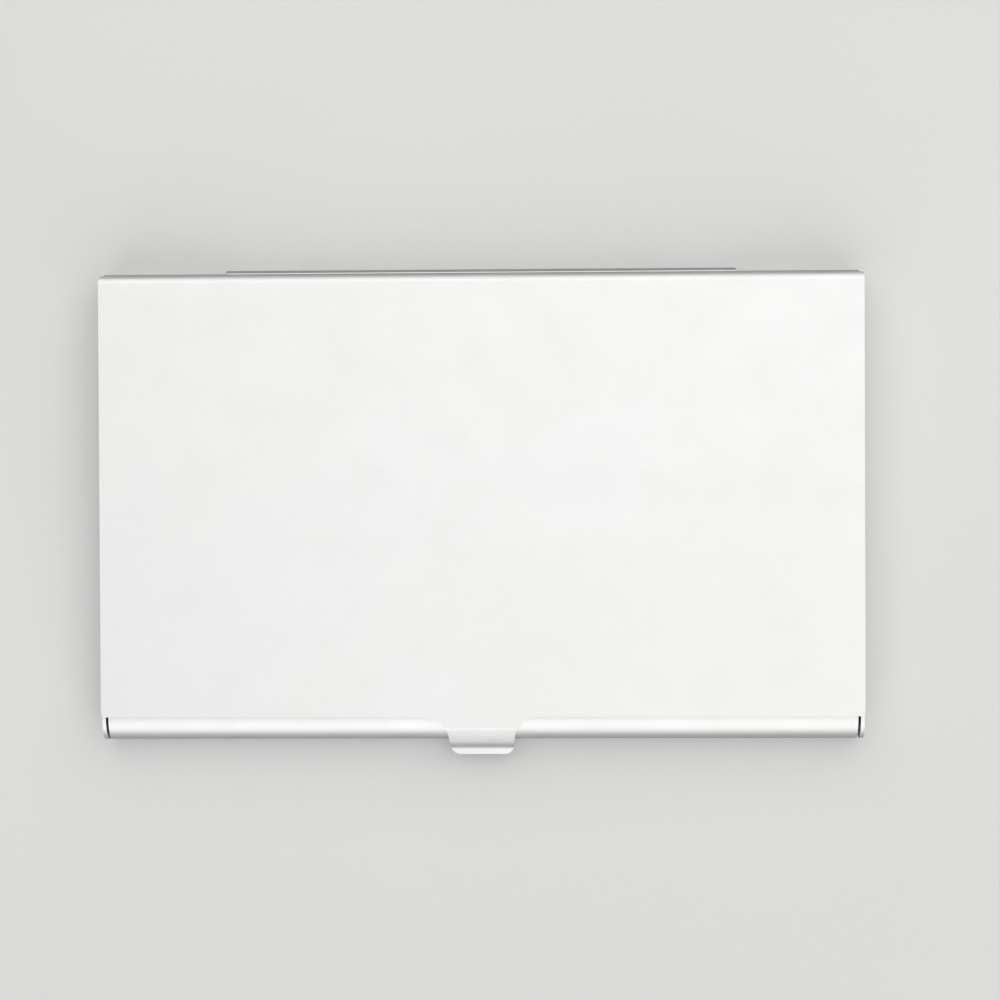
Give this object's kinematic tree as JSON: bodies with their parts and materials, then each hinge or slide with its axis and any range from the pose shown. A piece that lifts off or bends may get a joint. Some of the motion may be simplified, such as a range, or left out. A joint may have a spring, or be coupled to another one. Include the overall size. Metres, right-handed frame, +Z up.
{
  "type": "business card case",
  "caption": "Flat pressed aluminium business card case: a shallow tray with a rolled front edge and a hinged lid with a thumb tab, held by a leaf spring.",
  "frame": {"origin": "centre of the underside, midway between the side walls and between the front of the rolled edge and the back of the lid", "axes": "+X along the width, to the right as seen from the front; -Y towards the thumb tab, +Y towards the hinge; +Z up through the lid"},
  "size_m": [0.093, 0.0596, 0.0065],
  "materials": {
    "tray": "fine blasted and clear anodised",
    "lid": "fine blasted and clear anodised",
    "pin": "turned, satin",
    "spring": "rolled spring steel",
    "rivet": "satin"
  },
  "bodies": {
    "case": {"tray": "tray", "hinge_pin_left": "pin", "hinge_pin_right": "pin", "leaf_spring": "spring", "spring_rivet_left": "rivet", "spring_rivet_right": "rivet"},
    "lid": {"lid": "lid"}
  },
  "joints": [
    {"name": "lid_hinge", "type": "hinge", "parent": "case", "child": "lid", "pos_m": [0, 0.02705, 0.005], "axis": [-1, 0, 0], "range_deg": [0, 110]}
  ]
}
